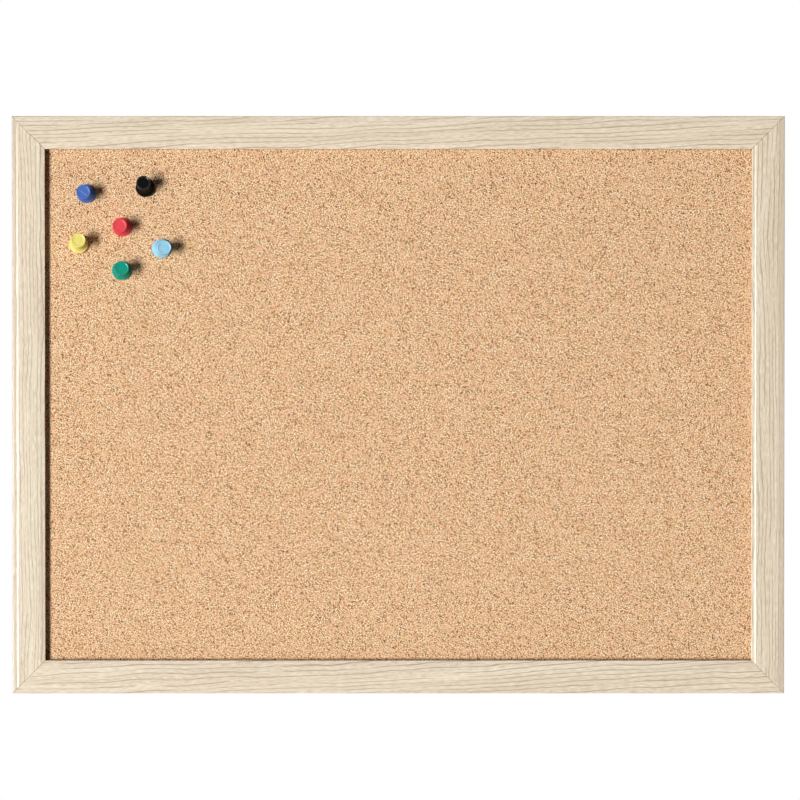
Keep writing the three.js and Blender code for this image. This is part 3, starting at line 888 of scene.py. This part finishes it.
# Light, floor and camera

def aim(obj, place, target):
    """Stands an object at place, looking at target along its own -Z."""
    towards = Vector(target) - Vector(place)
    obj.location = place
    obj.rotation_mode = "QUATERNION"
    obj.rotation_quaternion = towards.to_track_quat("-Z", "Y")
    bpy.context.scene.collection.objects.link(obj)


def softbox(name, place, size, share):
    """A flat lamp that gives the board's face or back this share of the full light."""
    lamp = bpy.data.lights.new(name, "AREA")
    lamp.shape = "RECTANGLE"
    lamp.size, lamp.size_y = size
    distance = Vector(place).length
    slant = abs(place[1]) / distance
    lamp.energy = share * (math.pi * distance) ** 2 / slant
    obj = bpy.data.objects.new(name, lamp)
    obj.visible_camera = False
    aim(obj, place, (0, 0, 0))


def white_surroundings():
    """White where it is seen or mirrored, and a weak even fill on matt surfaces."""
    world = bpy.data.worlds.new("surroundings")
    world.use_nodes = True
    bpy.context.scene.world = world
    tree = world.node_tree
    fill = tree.nodes["Background"]
    fill.inputs["Color"].default_value = (1, 1, 1, 1)
    fill.inputs["Strength"].default_value = FILL_SHARE
    white = tree.nodes.new("ShaderNodeBackground")
    white.inputs["Color"].default_value = (1, 1, 1, 1)
    path = tree.nodes.new("ShaderNodeLightPath")
    seen = path.outputs["Is Camera Ray"]
    for ray in ("Is Glossy Ray", "Is Transmission Ray"):
        either = tree.nodes.new("ShaderNodeMath")
        either.operation = "MAXIMUM"
        tree.links.new(seen, either.inputs[0])
        tree.links.new(path.outputs[ray], either.inputs[1])
        seen = either.outputs[0]
    mix = tree.nodes.new("ShaderNodeMixShader")
    tree.links.new(seen, mix.inputs[0])
    tree.links.new(fill.outputs[0], mix.inputs[1])
    tree.links.new(white.outputs[0], mix.inputs[2])
    tree.links.new(mix.outputs[0], tree.nodes["World Output"].inputs["Surface"])


def make_floor():
    """A round floor well below the board."""
    bm = bmesh.new()
    bmesh.ops.create_circle(bm, cap_ends=True, segments=FLOOR_SEGMENTS, radius=FLOOR_RADIUS)
    floor = new_piece("floor", bm, [pale_floor()])
    floor.location = (0, 0, -HALF_HEIGHT - FLOOR_DROP)


def make_camera():
    """The photograph's view, nearly square on to the board's face."""
    camera = bpy.data.cameras.new("camera")
    camera.sensor_width = SENSOR_WIDTH
    camera.lens = SENSOR_WIDTH * CAMERA_DISTANCE / (PHOTO_SIDE_PX * MM_PER_PX * MM)
    obj = bpy.data.objects.new("camera", camera)
    middle_px = PHOTO_SIDE_PX / 2
    right = (middle_px - BOARD_CENTRE_PX[0]) * MM_PER_PX * MM
    up = (BOARD_CENTRE_PX[1] - middle_px) * MM_PER_PX * MM
    target = Vector((right, rail_low.y, up))
    slant = math.radians(CAMERA_ELEVATION)
    offset = Vector((0, -math.cos(slant), math.sin(slant))) * CAMERA_DISTANCE
    aim(obj, target + offset, target)
    bpy.context.scene.camera = obj


make_camera()
make_frame()
make_cork()
make_pins()
make_back()
softbox("key", KEY_PLACE, KEY_SIZE, KEY_SHARE)
softbox("back", BACK_PLACE, BACK_SIZE, BACK_SHARE)
white_surroundings()
make_floor()
bpy.context.scene.view_settings.view_transform = "Standard"
